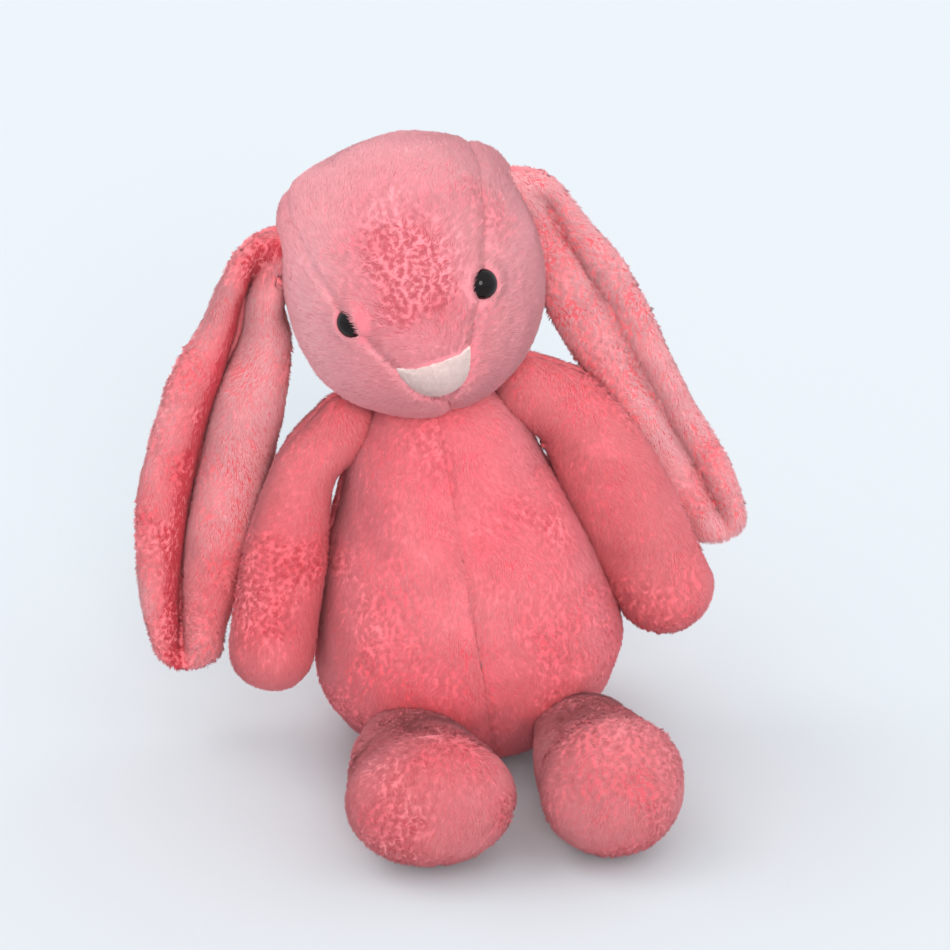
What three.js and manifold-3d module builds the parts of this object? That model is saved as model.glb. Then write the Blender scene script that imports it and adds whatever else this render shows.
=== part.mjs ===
// A seated plush rabbit with lop ears, about 265 mm tall, built as its separate sewn pieces.
// Millimetres, +Z up. The rabbit faces -Y, its own left side is +X, and the origin is the middle of its seat.
import * as THREE from "three";
import Module from "manifold-3d";

const wasm = await Module();
wasm.setup();

const { sin, cos, sqrt, min, max, PI } = Math;
const rad = THREE.MathUtils.degToRad;
const deg = THREE.MathUtils.radToDeg;
const lerp = THREE.MathUtils.lerp;
const vec = (x, y, z) => new THREE.Vector3(x, y, z);

// ---- Driving dimensions ----
const PILE = 4; // thickness of the fur fabric, backing and pile together
const SEAM = 0.4; // gap left between two pieces that are sewn or pressed together
const SLACK = 1.2; // how far the stuffing stays inside its cover, beyond the seam's gap
const CLEAR = 0.9; // running room round each ball-shaped limb root
const LEAN = rad(-8); // the body leans to the rabbit's right, about Y through the seat

const NECK = vec(0, -3, 146); // centre of the neck, in the leaning frame
const NECK_RADIUS = 17;
const HEAD = vec(0, -9, 192); // centre of the head, in the leaning frame
const HEAD_RADII = vec(47, 47, 52);
const HEAD_TURN = rad(-3);
const HEAD_TILT = rad(-8);
const HEAD_NOD = rad(6);

const EYE_RADIUS = 5.4;
const EYE_DOME = 4.6; // how far the eye stands out of the fabric
const EYE_SIDE = rad(31); // each eye's angle to the side of the face's middle
const EYE_RISE = rad(11);
const EYE_SINK = 1.2; // how far the eye's flat back presses into the pile
const STEM_RADIUS = 1.6;
const STEM_LENGTH = 15;
const WASHER_RADIUS = 8;
const WASHER_THICKNESS = 1.6;
const NOSE_TOP = rad(-13);
const NOSE_BOTTOM = rad(-31);
const NOSE_HALF = rad(15.5);
const NOSE_THICKNESS = 1.8;

const SEAT_RADII = [34, 30];
const SEAT_THICKNESS = 3;

// The body's outline: height, half width, half depth, and how far back its middle lies.
const BODY_OUTLINE = [
  [0, 36, 32, 3],
  [6, 44, 40, 2],
  [18, 53.5, 47, 1],
  [38, 60.5, 52, 0],
  [60, 56.5, 50, 0],
  [84, 48.5, 45.5, 0],
  [112, 35.5, 37, 1],
  [130, 28.5, 29.5, 0],
  [139, 24.5, 25, -1],
];

// Each limb: points down its middle, with its half width and half depth at them, its rounded end's length,
// and the way its front faces.
const FORWARD = vec(0, -1, 0);
const UP = vec(0, 0, 1);
const ARMS = {
  left: {
    spine: [vec(34, -2, 138), vec(50, -3, 128), vec(65.5, -6, 98), vec(77.5, -7, 51)],
    widths: [12.5, 11, 14.5, 19],
    depths: [12.5, 12.5, 16, 19],
    dome: 19,
    facing: FORWARD,
  },
  right: {
    spine: [vec(-33, -3, 138), vec(-49, -7, 127), vec(-63.5, -13, 98), vec(-75.3, -16, 60)],
    widths: [12.5, 12.5, 15, 16.5],
    depths: [12.5, 12.5, 16, 18],
    dome: 17,
    facing: FORWARD,
  },
};
const LEGS = {
  left: {
    spine: [vec(31, -57, 22), vec(31.5, -76, 23.5), vec(33, -98, 26.6)],
    widths: [16, 21, 26.5],
    depths: [16, 19.5, 26.5],
    dome: 21,
    facing: UP,
  },
  right: {
    spine: [vec(-31, -57, 22), vec(-31, -76, 23.5), vec(-32, -97, 25.6)],
    widths: [16, 22, 30.5],
    depths: [16, 19.5, 25.5],
    dome: 21,
    facing: UP,
  },
};
const EARS = {
  left: {
    spine: [vec(37, -6, 218), vec(49, -3, 212), vec(58, 1, 194), vec(70, 5, 165), vec(84, 8, 128),
      vec(95, 10, 104), vec(104, 11, 84), vec(108, 12, 66)],
    widths: [9, 10, 11, 15, 12.5, 11.5, 10.5, 9.5],
    depths: [9, 9, 9.5, 10, 10, 10, 10, 9],
    dome: 10,
    facing: FORWARD,
  },
  right: {
    spine: [vec(-41, -6, 209), vec(-50, -3, 207), vec(-60, 1, 192), vec(-67, 4, 176), vec(-79, 6, 151),
      vec(-93, 8, 119), vec(-101, 8, 99), vec(-106, 8, 77), vec(-107, 8, 57)],
    widths: [9, 10, 12, 15.5, 20.5, 21, 18.5, 16, 14],
    depths: [9, 9, 9.5, 10, 11.5, 12, 12, 11, 10],
    dome: 13,
    facing: FORWARD,
  },
};
const SOLE_START = 0.7; // where the sole's seam runs, as a share of the leg's length
const HIP_RANGE = [-50, 15].map(rad); // a leg hangs below level, or rises above it
const EAR_RANGE = [0, 75].map(rad); // an ear hangs down, or lifts out to the side

const TAIL = vec(0, 70, 36);
const TAIL_RADIUS = 17;

// ---- Colours ----
const FUR_BODY = new THREE.Color(0xe8737f);
const FUR_HEAD = new THREE.Color(0xf09aa4);
const FUR_EAR = new THREE.Color(0xee8088);
const CREAM = new THREE.Color(0xf0d6d0);
const fur = (color) => new THREE.MeshStandardMaterial({ color, roughness: 0.95, metalness: 0 });
const material = {
  body: fur(FUR_BODY),
  head: fur(FUR_HEAD),
  ear: fur(FUR_EAR),
  nose: fur(CREAM),
  fill: fur(new THREE.Color(0xf4f4f0)),
  pouch: fur(new THREE.Color(0xd8d2c4)),
  eye: new THREE.MeshStandardMaterial({ color: 0x140c0c, roughness: 0.08, metalness: 0 }),
  washer: new THREE.MeshStandardMaterial({ color: 0xe6e6e6, roughness: 0.5, metalness: 0 }),
};

// ---- Solids ----
// Joins rows of points into one closed solid: outer and inner are grids [i][j] of the same size.
// With wrap the grid closes on itself along i, and an end whose points all meet needs no wall.
function slab(outer, inner, { wrap = false } = {}) {
  const points = [];
  const index = new Map();
  const faces = [];
  const id = (p) => {
    const key = [p.x, p.y, p.z].map((c) => Math.round(c * 1e3)).join();
    if (!index.has(key)) {
      index.set(key, points.length);
      points.push(p);
    }
    return index.get(key);
  };
  const triangle = (...corners) => {
    const ids = corners.map(id);
    if (new Set(ids).size === 3) faces.push(ids);
  };
  const quad = (a, b, c, d) => {
    triangle(a, b, c);
    triangle(a, c, d);
  };
  const rows = outer.length;
  const last = outer[0].length - 1;
  const steps = wrap ? rows : rows - 1;
  for (let i = 0; i < steps; i++) {
    const n = (i + 1) % rows;
    for (let j = 0; j < last; j++) {
      quad(outer[i][j], outer[n][j], outer[n][j + 1], outer[i][j + 1]);
      quad(inner[i][j], inner[i][j + 1], inner[n][j + 1], inner[n][j]);
    }
    quad(outer[n][0], outer[i][0], inner[i][0], inner[n][0]);
    quad(outer[i][last], outer[n][last], inner[n][last], inner[i][last]);
  }
  if (!wrap) {
    for (let j = 0; j < last; j++) {
      quad(outer[0][j], outer[0][j + 1], inner[0][j + 1], inner[0][j]);
      quad(outer[steps][j + 1], outer[steps][j], inner[steps][j], inner[steps][j + 1]);
    }
  }
  return solid(points, faces);
}

// A manifold solid of these points and faces, turned the right way out.
function solid(points, faces) {
  const make = (triVerts) =>
    new wasm.Manifold(
      new wasm.Mesh({
        numProp: 3,
        vertProperties: new Float32Array(points.flatMap((p) => [p.x, p.y, p.z])),
        triVerts: new Uint32Array(triVerts),
      }),
    );
  const made = make(faces.flat());
  return made.volume() > 0 ? made : make(faces.flatMap(([a, b, c]) => [a, c, b]));
}

// A manifold solid of a closed three.js geometry.
function fromGeometry(geometry) {
  const flat = geometry.index ? geometry.toNonIndexed() : geometry;
  const position = flat.getAttribute("position");
  const points = [];
  const index = new Map();
  const faces = [];
  for (let i = 0; i < position.count; i += 3) {
    const ids = [0, 1, 2].map((k) => {
      const p = new THREE.Vector3().fromBufferAttribute(position, i + k);
      const key = p.toArray().map((c) => Math.round(c * 1e3)).join();
      if (!index.has(key)) {
        index.set(key, points.length);
        points.push(p);
      }
      return index.get(key);
    });
    if (new Set(ids).size === 3) faces.push(ids);
  }
  return solid(points, faces);
}

// A named mesh of a manifold solid.
function mesh(name, made, look) {
  const { vertProperties, triVerts, numProp } = made.getMesh();
  const positions = new Float32Array((vertProperties.length / numProp) * 3);
  for (let i = 0; i < positions.length / 3; i++) {
    positions.set(vertProperties.subarray(i * numProp, i * numProp + 3), i * 3);
  }
  const geometry = new THREE.BufferGeometry();
  geometry.setAttribute("position", new THREE.BufferAttribute(positions, 3));
  geometry.setIndex(new THREE.BufferAttribute(triVerts, 1));
  const made3 = new THREE.Mesh(geometry, look);
  made3.name = name;
  return made3;
}

// A grid of points: surface(u, v, offset), with u and v each running over their range.
function grid(surface, [u0, u1], [v0, v1], [nu, nv], offset, wrap = false) {
  const rows = wrap ? nu : nu + 1;
  return Array.from({ length: rows }, (_, i) =>
    Array.from({ length: nv + 1 }, (_, j) => surface(lerp(u0, u1, i / nu), lerp(v0, v1, j / nv), offset)),
  );
}

// A piece of fabric lying on a surface: a slab between two offsets along its normal.
function patch(surface, us, vs, counts, [low, high], wrap = false) {
  const outer = grid(surface, us, vs, counts, high, wrap);
  const inner = grid(surface, us, vs, counts, low, wrap);
  return slab(outer, inner, { wrap });
}

// The whole surface as one stuffed solid: a closed tube of point rows, capped to a middle point at each end.
function stuffing(surface, vs, [nu, nv], offset) {
  const rows = grid(surface, [0, 2 * PI], vs, [nu, nv], offset, true);
  const middle = (j) => rows.reduce((sum, row) => sum.add(row[j]), vec(0, 0, 0)).divideScalar(nu);
  const points = [middle(0), middle(nv), ...rows.flat()];
  const at = (i, j) => 2 + (i % nu) * (nv + 1) + j;
  const faces = [];
  for (let i = 0; i < nu; i++) {
    for (let j = 0; j < nv; j++) {
      faces.push([at(i, j), at(i + 1, j), at(i + 1, j + 1)]);
      faces.push([at(i, j), at(i + 1, j + 1), at(i, j + 1)]);
    }
    faces.push([0, at(i + 1, 0), at(i, 0)]);
    faces.push([1, at(i, nv), at(i + 1, nv)]);
  }
  return solid(points, faces);
}

// The same point moved along the surface's outward normal, which is measured from its neighbours.
function offsetAlongNormal(point, outwardFrom) {
  const step = 1e-3;
  return (u, v, offset) => {
    const p = point(u, v);
    if (!offset) return p;
    const du = point(u + step, v).sub(point(u - step, v));
    const dv = point(u, v + step).sub(point(u, v - step));
    const normal = du.cross(dv).normalize();
    if (normal.dot(p.clone().sub(outwardFrom(u, v))) < 0) normal.negate();
    return p.addScaledVector(normal, offset);
  };
}

// Values at evenly spaced stations, blended smoothly at t from 0 to 1.
function smooth(values) {
  const curve = new THREE.CatmullRomCurve3(values.map((v, i) => vec(i, v, 0)));
  return (t) => curve.getPoint(min(max(t, 0), 1)).y;
}

const union = (solids) => solids.reduce((all, next) => all.add(next));

const ball = (centre, radius) =>
  fromGeometry(new THREE.SphereGeometry(radius, 14, 9)).translate(centre.x, centre.y, centre.z);

// A geometry made about the Y axis, stood at a place with its Y axis along a direction.
function stand(geometry, place, direction) {
  const turned = geometry.applyQuaternion(
    new THREE.Quaternion().setFromUnitVectors(vec(0, 1, 0), direction),
  );
  return fromGeometry(turned).translate(place.x, place.y, place.z);
}

// A straight round bar from one point to another.
function bar(from, to, radius) {
  const along = to.clone().sub(from);
  const middle = from.clone().add(to).divideScalar(2);
  return stand(new THREE.CylinderGeometry(radius, radius, along.length(), 12), middle, along.normalize());
}

function box(low, high) {
  const size = high.clone().sub(low);
  const middle = low.clone().add(high).divideScalar(2);
  return fromGeometry(new THREE.BoxGeometry(size.x, size.y, size.z)).translate(middle.x, middle.y, middle.z);
}

// ---- Body ----
const bodyAt = BODY_OUTLINE[0].map((_, k) => smooth(BODY_OUTLINE.map((row) => row[k])));

// angle runs round the body from its left side over the back; v runs from the seat to the neck.
function bodyPoint(angle, v) {
  const [height, width, depth, back] = bodyAt.map((f) => f(v));
  return vec(width * cos(angle), back + depth * sin(angle), height);
}
const bodySurface = offsetAlongNormal(bodyPoint, (angle, v) => vec(0, 0, bodyAt[0](v)));

// The leaning frame's turn, undone: what stands upright or lies flat in the world, seen from that frame.
const upright = (made) => made.rotate([0, -deg(LEAN), 0]);
const aboveFloor = (height) => upright(box(vec(-150, -150, height), vec(150, 150, 300)));

// The room that the first part of a limb sweeps through as it turns about its root.
function sweep(spec, reach, axis, [from, to]) {
  const { surface, share } = limb(spec);
  const root = spec.spine[0];
  const whole = stuffing(surface, [0.05, share(reach)], [10, 6], CLEAR + 0.4);
  const steps = 5;
  const turned = Array.from({ length: steps + 1 }, (_, k) =>
    whole
      .translate(-root.x, -root.y, -root.z)
      .rotate(axis.clone().multiplyScalar(deg(lerp(from, to, k / steps))).toArray())
      .translate(root.x, root.y, root.z),
  );
  return union([...turned, ball(root, spec.widths[0] + CLEAR)]);
}

function bodyPieces() {
  const shoulders = Object.values(ARMS).map(({ spine, widths }) => ball(spine[0], widths[0] + CLEAR));
  const legs = Object.values(LEGS).map((leg) => upright(sweep(leg, 42, vec(-1, 0, 0), HIP_RANGE)));
  const cuts = union([...shoulders, ...legs, ball(NECK, NECK_RADIUS + CLEAR)]);
  const quarters = ["back_left", "back_right", "front_right", "front_left"];
  const gap = SEAM / 2 / BODY_OUTLINE[3][1];
  const pieces = quarters.map((name, k) => {
    const around = [(k * PI) / 2 + gap, ((k + 1) * PI) / 2 - gap];
    const skin = patch(bodySurface, around, [0, 1], [5, 10], [-PILE, 0]);
    const made = skin.intersect(aboveFloor(SEAT_THICKNESS + SEAM)).subtract(cuts);
    return mesh(`body_${name}`, made, material.body);
  });
  const fill = stuffing(bodySurface, [0.02, 0.98], [20, 10], -PILE - SEAM - SLACK)
    .intersect(aboveFloor(SEAT_THICKNESS + SEAM))
    .subtract(cuts)
    .subtract(seatPouch(SEAM));
  pieces.push(mesh("body_stuffing", fill, material.fill));
  pieces.push(mesh("seat_pouch", seatPouch(0), material.pouch));
  return pieces;
}

// A round pillow of plastic pellets, low in the seat.
function seatPouch(grow) {
  const pillow = fromGeometry(new THREE.SphereGeometry(1, 16, 8).rotateX(PI / 2));
  return upright(pillow.scale([30 + grow, 27 + grow, 8 + grow]).translate(0, 4, 13));
}

// The oval base that the rabbit sits on, lying flat on the floor.
function seatPanel() {
  const outline = new THREE.Shape().absellipse(0, 3, ...SEAT_RADII, 0, 2 * PI, false, 0);
  const sheet = { depth: SEAT_THICKNESS, bevelEnabled: false, curveSegments: 16 };
  return mesh("seat_panel", fromGeometry(new THREE.ExtrudeGeometry(outline, sheet)), material.body);
}

// ---- Limbs ----
// A round limb along a spine: a half-ball at its root, its own radii along it and a rounded end.
// Angle 0 is the limb's left side; a quarter turn on from there is its front, or its top if it lies forward.
function limb({ spine, widths, depths, dome, facing }) {
  const curve = new THREE.CatmullRomCurve3(spine.map((p) => p.clone()));
  const length = curve.getLength();
  const root = widths[0];
  const total = root + length + dome;
  const widthAt = smooth(widths);
  const depthAt = smooth(depths);
  const point = (angle, v) => {
    const s = v * total - root;
    const along = min(max(s / length, 0), 1);
    const t = curve.getUtoTmapping(along);
    const tangent = curve.getTangent(t);
    const past = s < 0 ? s : max(s - length, 0);
    const reach = s < 0 ? root : dome;
    const round = sqrt(max(1 - (past / reach) ** 2, 0));
    const across = facing.clone().cross(tangent).normalize();
    const front = tangent.clone().cross(across);
    return curve
      .getPoint(t)
      .addScaledVector(tangent, past)
      .addScaledVector(across, widthAt(t) * round * cos(angle))
      .addScaledVector(front, depthAt(t) * round * sin(angle));
  };
  const middle = (angle, v) => curve.getPointAt(min(max((v * total - root) / length, 0), 1));
  return {
    point,
    middle,
    surface: offsetAlongNormal(point, middle),
    share: (s) => (s + root) / total,
  };
}

const LIMB_ROOT = 0.04; // the cover is gathered to a small hole at its root
const LIMB_END = 0.99; // and its seams meet just short of the very tip

function halves(made, names, vs, counts, look, finish = (solid) => solid) {
  const gap = rad(1);
  return names.map((name, k) => {
    const around = [k * PI + gap, (k + 1) * PI - gap];
    return mesh(name, finish(patch(made.surface, around, vs, counts, [-PILE, 0])), look);
  });
}

function armPieces(side) {
  const arm = limb(ARMS[side]);
  const names = [`${side}_arm_front`, `${side}_arm_back`];
  const fill = stuffing(arm.surface, [0.09, 0.95], [10, 8], -PILE - SEAM - SLACK);
  return [
    ...halves(arm, names, [LIMB_ROOT, LIMB_END], [5, 10], material.body),
    mesh(`${side}_arm_stuffing`, fill, material.fill),
  ];
}

function legPieces(side) {
  const leg = limb(LEGS[side]);
  const names = [`${side}_leg_top`, `${side}_leg_underside`];
  const start = SOLE_START - 0.004;
  const sole = patch(leg.surface, [0, 2 * PI], [SOLE_START, LIMB_END], [16, 4], [-PILE, 0], true);
  const inside = stuffing(leg.surface, [0.1, 0.95], [14, 8], -PILE - SEAM - SLACK);
  const foot = LEGS[side].spine.at(-1);
  const low = (grow) => box(vec(-100, -200, -10), vec(100, foot.y + 18 + grow, foot.z - 5 + grow));
  return [
    ...halves(leg, names, [LIMB_ROOT, start], [5, 6], material.body),
    mesh(`${side}_sole`, sole, material.body),
    mesh(`${side}_leg_stuffing`, inside.subtract(low(SEAM)), material.fill),
    mesh(`${side}_foot_pouch`, inside.intersect(low(0)), material.pouch),
  ];
}

// An ear is two fur layers, front and back, sewn together round their edge.
function earPieces(side) {
  const ear = limb(EARS[side]);
  return ["front", "back"].map((layer, k) => {
    const lift = vec(0, k ? SEAM / 2 : -SEAM / 2, 0);
    const rim = (angle, v) => ear.point(0, v).lerp(ear.point(PI, v), (1 - cos(angle)) / 2);
    const surface = (angle, v, outer) => (outer ? ear.point(angle, v) : rim(angle, v)).add(lift);
    const made = patch(surface, [k * PI, (k + 1) * PI], [0, 1], [6, 14], [0, 1]);
    return mesh(`${side}_ear_${layer}`, made, material.ear);
  });
}

// ---- Head ----
// The head's own frame has its middle at the origin. rise runs up from the face over the crown and down
// the back; side is the angle towards an ear.
const headDirection = (rise, side) => vec(sin(side), -cos(side) * cos(rise), cos(side) * sin(rise));

function headPoint(rise, side) {
  const direction = headDirection(rise, side);
  const radius = 1 / direction.clone().divide(HEAD_RADII).length();
  const fromNose = headDirection((NOSE_TOP + NOSE_BOTTOM) / 2, 0).angleTo(direction);
  const muzzle = 4 * Math.exp(-((fromNose / rad(30)) ** 2));
  return direction.multiplyScalar(radius + muzzle);
}
const headSurface = offsetAlongNormal(headPoint, () => vec(0, 0, 0));

// Half the gusset's width, as a side angle: from the nose it opens past the eyes to the ears, then closes.
const GUSSET_RISE = [-38, -27, -15, 13, 45, 80, 120, 165, 205].map(rad);
const GUSSET_HALF = [1, 11, 15, 31, 42, 45, 38, 18, 1].map(rad);

function gussetHalf(rise) {
  const k = max(GUSSET_RISE.findIndex((at) => at >= rise), 1);
  const t = (rise - GUSSET_RISE[k - 1]) / (GUSSET_RISE[k] - GUSSET_RISE[k - 1]);
  return lerp(GUSSET_HALF[k - 1], GUSSET_HALF[k], t);
}

// Where the head sits and how it is turned, in the leaning frame.
function headMatrix() {
  const turn = new THREE.Euler(HEAD_NOD, HEAD_TILT, HEAD_TURN, "ZYX");
  return new THREE.Matrix4().makeRotationFromEuler(turn).setPosition(HEAD);
}

// What the neck and the ears' roots take out of the head, in the head's frame.
function headSockets() {
  const toHead = headMatrix().invert();
  const left = sweep(EARS.left, 32, vec(0, -1, 0), EAR_RANGE);
  const right = sweep(EARS.right, 32, vec(0, 1, 0), EAR_RANGE);
  return union([ball(NECK, NECK_RADIUS + CLEAR), left, right]).transform(toHead.elements);
}

// One eye's place: a point on the fabric and the line into the head.
function eyeSpot(side) {
  const sign = side === "left" ? 1 : -1;
  const surface = headPoint(EYE_RISE, sign * EYE_SIDE);
  const inward = surface.clone().normalize().negate();
  const at = (depth) => surface.clone().addScaledVector(inward, depth);
  return { side, inward, at };
}

// A safety eye: a glossy dome with a stem that passes through the fabric into a locking washer.
function eyePieces({ side, at, inward }) {
  const dome = [90, 67, 45, 22, 0].map((a) => [EYE_RADIUS * cos(rad(a)), -EYE_DOME * sin(rad(a))]);
  const profile = [...dome, [STEM_RADIUS, 0.6], [STEM_RADIUS, STEM_LENGTH - 1], [0, STEM_LENGTH]];
  const points = profile.map(([r, depth]) => new THREE.Vector2(max(r, 0), depth + EYE_SINK));
  points[0].x = 0;
  const eye = stand(new THREE.LatheGeometry(points, 16), at(0), inward);
  const depth = PILE + 2;
  const disc = bar(at(depth), at(depth + WASHER_THICKNESS), WASHER_RADIUS);
  const hole = bar(at(depth - 1), at(depth + WASHER_THICKNESS + 1), STEM_RADIUS + 0.3);
  return [
    mesh(`${side}_eye`, eye, material.eye),
    mesh(`${side}_eye_washer`, disc.subtract(hole), material.washer),
  ];
}

function headPieces() {
  const spots = ["left", "right"].map(eyeSpot);
  const sockets = headSockets();
  const seats = spots.map(({ at }) => bar(at(-9), at(EYE_SINK + 1), EYE_RADIUS + 0.4));
  const holes = spots.map(({ at }) => bar(at(0), at(PILE + 3), STEM_RADIUS + 0.4));
  const skinCuts = union([sockets, ...seats, ...holes]);

  const gap = rad(0.25);
  const besideGusset = 16; // steps round the head
  const underChin = 4;
  const last = GUSSET_RISE.length - 1;
  const ends = [GUSSET_RISE[0] + rad(1), GUSSET_RISE[last] - rad(1)];
  const strip = (rise, v, offset) => headSurface(rise, v * (gussetHalf(rise) - gap), offset);
  const gusset = patch(strip, ends, [-1, 1], [besideGusset, 4], [-PILE, 0]);
  const pieces = [mesh("head_gusset", gusset.subtract(skinCuts), material.head)];

  for (const [name, sign] of [["left", 1], ["right", -1]]) {
    const outward = (u, v, offset) => {
      const past = max(u - besideGusset, 0) / underChin;
      const rise = lerp(lerp(ends[0], ends[1], min(u / besideGusset, 1)), ends[0] + 2 * PI, past);
      const from = gussetHalf(min(rise, ends[1])) + gap;
      return headSurface(rise, sign * lerp(from, PI / 2 - 1e-4, v), offset);
    };
    const all = besideGusset + underChin;
    const cheek = patch(outward, [0, all], [0, 1], [all, 4], [-PILE, 0], true);
    pieces.push(mesh(`head_${name}_cheek`, cheek.subtract(skinCuts), material.head));
  }

  const washerRoom = spots.map(({ at }) => bar(at(0), at(PILE + WASHER_THICKNESS + 3), WASHER_RADIUS + 0.6));
  const stemRoom = spots.map(({ at }) => bar(at(0), at(STEM_LENGTH + 2.2), STEM_RADIUS + 0.6));
  const fill = stuffing(headSurface, [rad(-80), rad(80)], [18, 8], -PILE - SEAM - 3 * SLACK);
  pieces.push(mesh("head_stuffing", fill.subtract(union([sockets, ...washerRoom, ...stemRoom])), material.fill));
  pieces.push(...spots.flatMap(eyePieces), nosePatch());
  return pieces;
}

// The nose: a short-pile patch laid over the gusset's front end, wide at its top and round below.
function nosePatch() {
  const surface = (rise, v, offset) => {
    const t = (rise - NOSE_BOTTOM) / (NOSE_TOP - NOSE_BOTTOM);
    return headSurface(rise, v * NOSE_HALF * sqrt(max(t, 0.03)), offset);
  };
  const lift = SEAM + 0.3;
  const made = patch(surface, [NOSE_BOTTOM, NOSE_TOP], [-1, 1], [5, 6], [lift, lift + NOSE_THICKNESS]);
  return mesh("nose_patch", made, material.nose);
}

// ---- Neck and tail ----
// A stuffed ball with an open end, as its cover and its filling. pole turns its open end.
function stuffedBall(name, centre, radius, thickness, latitudes, pole) {
  const direction = (angle, v) => vec(cos(angle) * cos(v), sin(angle) * cos(v), sin(v)).applyEuler(pole);
  const point = (angle, v) => direction(angle, v).multiplyScalar(radius).add(centre);
  const surface = offsetAlongNormal(point, () => centre);
  const cover = patch(surface, [0, 2 * PI], latitudes, [16, 7], [-thickness, 0], true);
  const fill = ball(centre, radius - thickness - SEAM - SLACK);
  return [mesh(`${name}_cover`, cover, material.body), mesh(`${name}_stuffing`, fill, material.fill)];
}

// ---- The whole rabbit ----
const leaning = new THREE.Group();
leaning.rotation.y = LEAN;
leaning.add(...bodyPieces());
leaning.add(...stuffedBall("neck", NECK, NECK_RADIUS, 3, [rad(-50), rad(50)], new THREE.Euler()));
leaning.add(...stuffedBall("tail", TAIL, TAIL_RADIUS, PILE, [rad(-55), rad(89)], new THREE.Euler(-PI / 2, 0, 0)));
for (const side of ["left", "right"]) leaning.add(...armPieces(side), ...earPieces(side));

const head = new THREE.Group();
headMatrix().decompose(head.position, head.quaternion, head.scale);
head.add(...headPieces());
leaning.add(head);

const rabbit = new THREE.Group();
rabbit.add(leaning, seatPanel(), ...legPieces("left"), ...legPieces("right"));

export default rabbit;
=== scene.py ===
"""The looks of the seated plush rabbit: fur skins, their pile, eyes and nose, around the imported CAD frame.

Shapes are worked out in millimetres and turned into metres when a mesh is made. The rabbit faces -Y.
Each fur panel becomes two pieces: a skin, which is the knitted backing with its dense undercoat, and its
pile, which is many fine tapered strands that lie down along the nap.
"""

import math

import bmesh
import bpy
import numpy as np
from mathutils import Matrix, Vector
from mathutils.kdtree import KDTree


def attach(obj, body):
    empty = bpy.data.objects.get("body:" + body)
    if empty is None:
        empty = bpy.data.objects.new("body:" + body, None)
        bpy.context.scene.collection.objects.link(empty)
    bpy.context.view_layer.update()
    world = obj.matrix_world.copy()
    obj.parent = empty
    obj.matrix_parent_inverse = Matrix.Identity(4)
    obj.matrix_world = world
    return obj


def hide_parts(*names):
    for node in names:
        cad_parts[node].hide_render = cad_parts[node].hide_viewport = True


MM = 0.001
FAR_FROM_EDGE = 99.0  # the distance kept for every point of a sheet that has no edge

# ---- Shape, in the CAD's own dimensions (mm) ----
LEAN = math.radians(-8)
NECK = np.array([0, -3, 146.0])
NECK_RADIUS = 17
NECK_BAND = (-1.0, 1.0)  # the covered part of the neck's ball, as angles above and below its middle
HEAD = np.array([0, -9, 192.0])
HEAD_RADII = np.array([47, 47, 52.0])
MUZZLE = 4  # how far the head stands out round the nose
MUZZLE_SPREAD = math.radians(30)
HEAD_TURN = math.radians(-3)
HEAD_TILT = math.radians(-8)
HEAD_NOD = math.radians(6)
EYE_RADIUS = 5.4
EYE_DOME = 4.6
EYE_FULLNESS = 0.9  # below 1, the dome is a little fuller than an ellipsoid
EYE_SIDE = math.radians(31)
EYE_RISE = math.radians(11)
EYE_SINK = 1.9
EYE_RIM = 1.3  # how far the fabric rises round an eye
EYE_RIM_OFF = 0.8  # the rise is highest this far outside the eye's edge
EYE_RIM_WIDTH = 2.2
EYE_BARE = 1.2  # no pile grows deeper under an eye than this
EYE_FOLDS = {1: 0.0, -1: 2.6}  # how much further it folds over the left (1) and right (-1) eye's inner side
NOSE_TOP = math.radians(-13)
NOSE_BOTTOM = math.radians(-31)
NOSE_HALF = math.radians(15.965)
NOSE_ROUNDING = 0.3  # the smaller, the squarer the nose's lower corners
NOSE_EDGE = -1.2  # the nose's edge lies in the pile round it
NOSE_CROWN = 2.4  # and its middle stands this much higher
NOSE_PILE = dict(density=14, length=1.6, width=0.26, lean=math.radians(66))
SEAT_MIDDLE = np.array([0, 3, 2.4])
SEAT_RADII = (36, 32)
TAIL = np.array([0, 67, 36.0])
TAIL_RADII = np.array([17, 17, 20.0])  # across, up, and away from the body
TAIL_BAND = (-1.2, math.pi / 2)
TAIL_PILE = 5.5

# The body's outline: height, half width, half depth, and how far back its middle lies.
BODY_OUTLINE = [
    (0, 36, 32, 3),
    (6, 44, 40, 2),
    (18, 53.5, 47, 1),
    (38, 60.5, 52, 0),
    (60, 57.5, 50, 0),
    (84, 51.5, 46, 0),
    (112, 40, 38, 0),
    (130, 33.5, 31.5, -1),
    (139, 27.5, 26.5, -2),
    (144, 21.5, 21.5, -3),
    (147.5, 17, 17, -3),
]
FORWARD = np.array([0, -1, 0.0])
UP = np.array([0, 0, 1.0])
ARMS = {
    "left": dict(
        spine=[(34, -2, 138), (50, -3, 128), (65.5, -6, 98), (77.5, -7, 51)],
        widths=[12.5, 11, 14.5, 19],
        depths=[12.5, 12.5, 16, 19],
        dome=19,
        facing=FORWARD,
        below=[2, 8, 11, 3],
        above=[4, 5.5, 2, 0],
    ),
    "right": dict(
        spine=[(-33, -3, 138), (-49, -7, 127), (-63.5, -13, 98), (-75.3, -16, 60)],
        widths=[12.5, 12.5, 15, 16.5],
        depths=[12.5, 12.5, 16, 18],
        dome=17,
        facing=FORWARD,
        below=[0, 0, 0, 0],
        above=[1, 1, 3, 1],
    ),
}
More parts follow.
